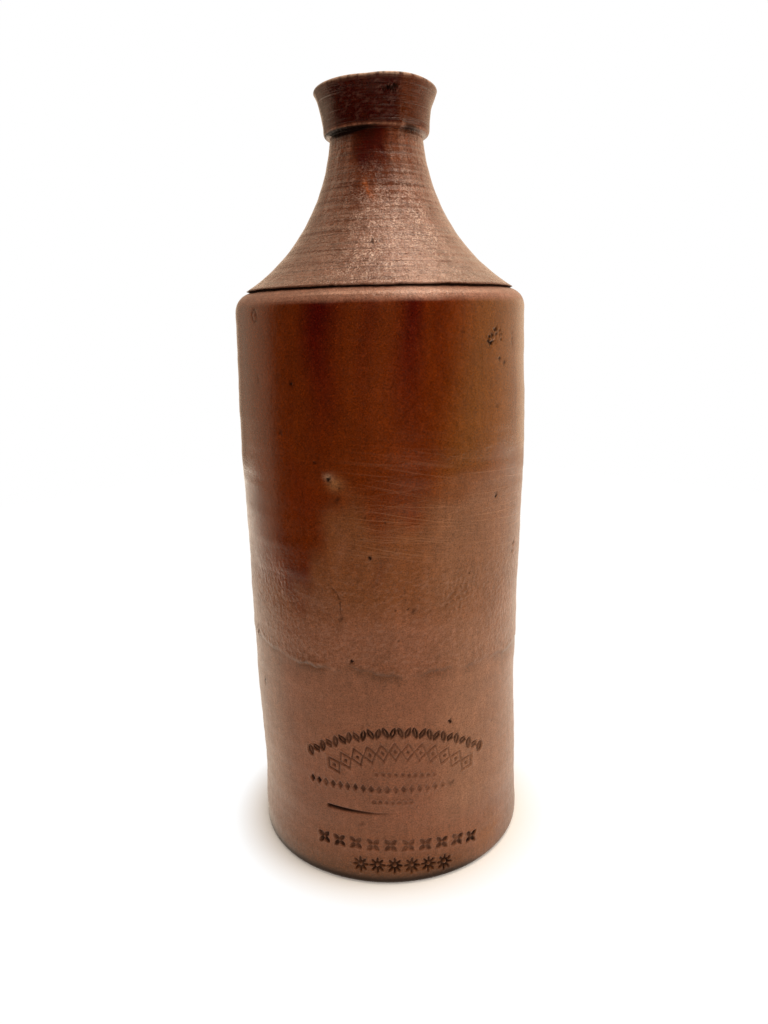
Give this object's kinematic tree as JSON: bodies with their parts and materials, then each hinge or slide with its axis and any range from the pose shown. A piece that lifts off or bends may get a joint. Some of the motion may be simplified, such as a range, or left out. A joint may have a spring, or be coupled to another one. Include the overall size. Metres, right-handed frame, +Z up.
{
  "type": "stoneware bottle",
  "caption": "Tall cylindrical salt-glazed stoneware ink bottle with a grooved shoulder, flared neck and thick spreading lip, open at the mouth for a cork.",
  "frame": {"origin": "centre of the flat underside, on the bottle's axis", "axes": "+Z up along the bottle's axis towards the mouth, -Y towards the side with the impressed marks"},
  "size_m": [0.0926, 0.0926, 0.2413],
  "materials": {
    "glazed_stoneware": "salt glaze over a brown iron wash, glossy and near black-brown on the upper body, dull pinkish brown on the lower body and neck, fine turning lines and pits"
  },
  "bodies": {
    "root": {"bottle": "glazed_stoneware"}
  },
  "joints": []
}
